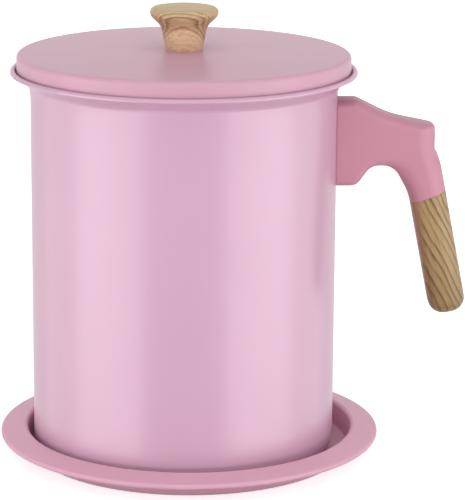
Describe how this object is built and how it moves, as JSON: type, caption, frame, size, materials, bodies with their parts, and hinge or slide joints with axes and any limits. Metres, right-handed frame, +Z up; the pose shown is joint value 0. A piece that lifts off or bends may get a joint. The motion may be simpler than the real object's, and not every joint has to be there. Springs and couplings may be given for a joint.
{
  "type": "oil filter pot",
  "caption": "Round painted steel oil pot with a side handle, drip tray, lift-out strainer and knobbed lid, for straining and keeping used frying oil.",
  "frame": {"origin": "on the pot's axis, on the flat underside of the tray", "axes": "+Z up along the pot's axis, +X towards the handle"},
  "size_m": [0.2006, 0.1638, 0.1936],
  "materials": {
    "pink_paint": "satin pink paint on steel sheet",
    "pink_plastic": "satin moulded pink",
    "wood": "satin lacquer over streaked grain",
    "steel": "drawn stainless sheet and wire",
    "brass": "turned"
  },
  "bodies": {
    "tray": {"tray": "pink_paint"},
    "pot": {"pot_body": "pink_paint", "handle_bracket": "steel", "handle_arm": "pink_plastic", "handle_grip": "wood", "handle_screw": "steel", "handle_washer": "steel", "handle_plug": "pink_plastic"},
    "strainer": {"strainer_cup": "steel", "strainer_mesh": "steel", "strainer_ring": "steel"},
    "lid": {"lid_shell": "pink_paint", "lid_knob": "wood", "knob_insert": "brass", "knob_screw": "steel", "knob_washer": "steel"}
  },
  "joints": [
    {"name": "pot_lift", "type": "slide", "parent": "tray", "child": "pot", "axis": [0, 0, 1], "range_m": [0, 0.06]},
    {"name": "strainer_lift", "type": "slide", "parent": "pot", "child": "strainer", "axis": [0, 0, 1], "range_m": [0, 0.08]},
    {"name": "lid_lift", "type": "slide", "parent": "strainer", "child": "lid", "axis": [0, 0, 1], "range_m": [0, 0.08]}
  ]
}
